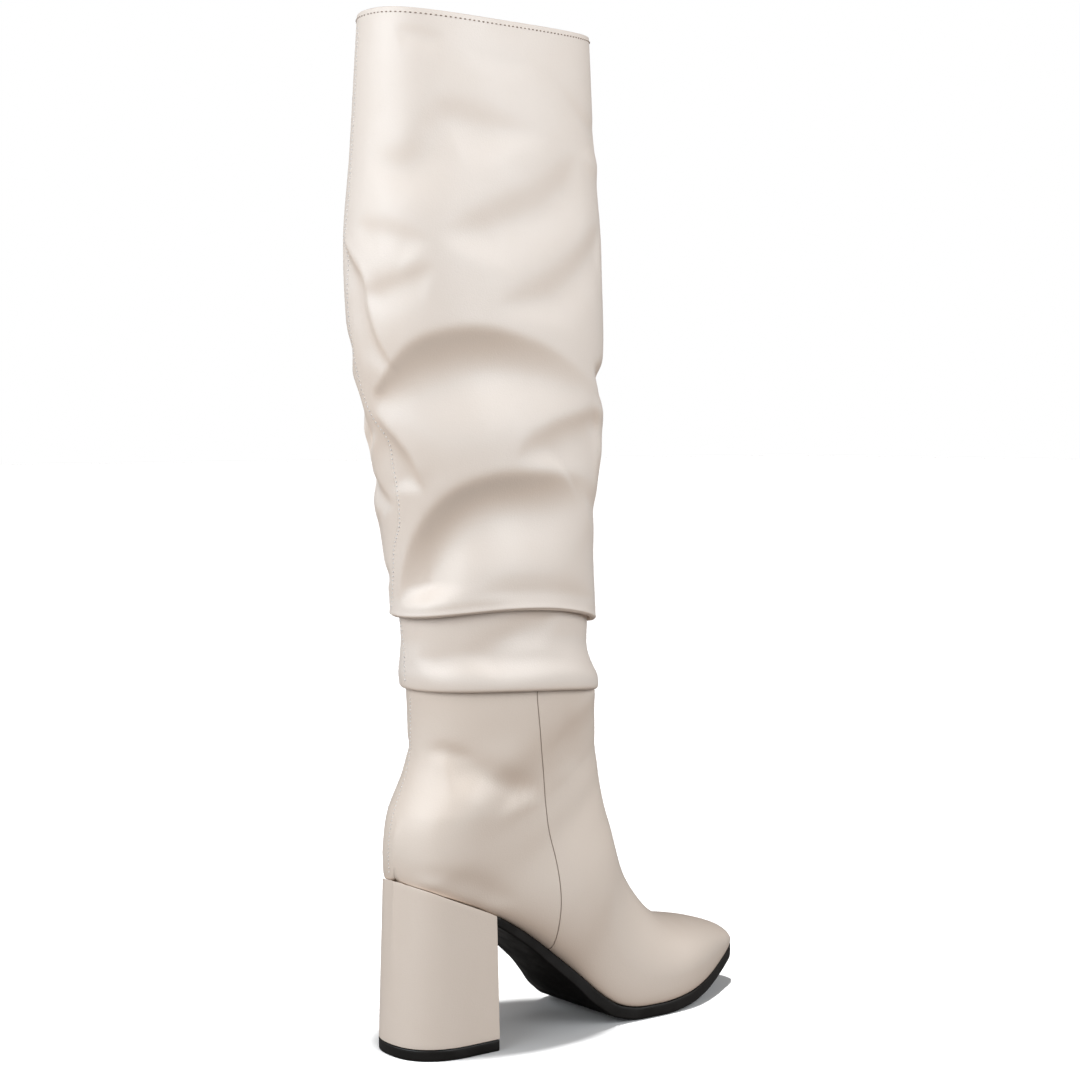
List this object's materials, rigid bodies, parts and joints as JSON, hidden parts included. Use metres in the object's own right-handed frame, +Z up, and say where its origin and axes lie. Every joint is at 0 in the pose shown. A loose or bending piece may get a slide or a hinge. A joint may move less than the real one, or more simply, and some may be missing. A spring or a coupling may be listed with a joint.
{
  "type": "slouch boot",
  "caption": "Knee-high slouch boot in smooth cream leather: pointed-almond toe, covered block heel, black rubber sole, soft shaft with two overhanging folds at the ankle and an open collar.",
  "frame": {"origin": "middle of the heel's tread, on the floor", "axes": "+X towards the toe, +Y towards the inner side of the foot, +Z up"},
  "size_m": [0.2583, 0.0941, 0.52],
  "materials": {
    "leather": "smooth cream synthetic leather, soft sheen",
    "rubber": "satin black",
    "lining": "matt beige sock lining"
  },
  "bodies": {
    "root": {"upper": "leather", "shaft": "leather", "heel": "leather", "outsole": "rubber", "top_lift": "rubber", "insole": "lining"}
  },
  "joints": []
}
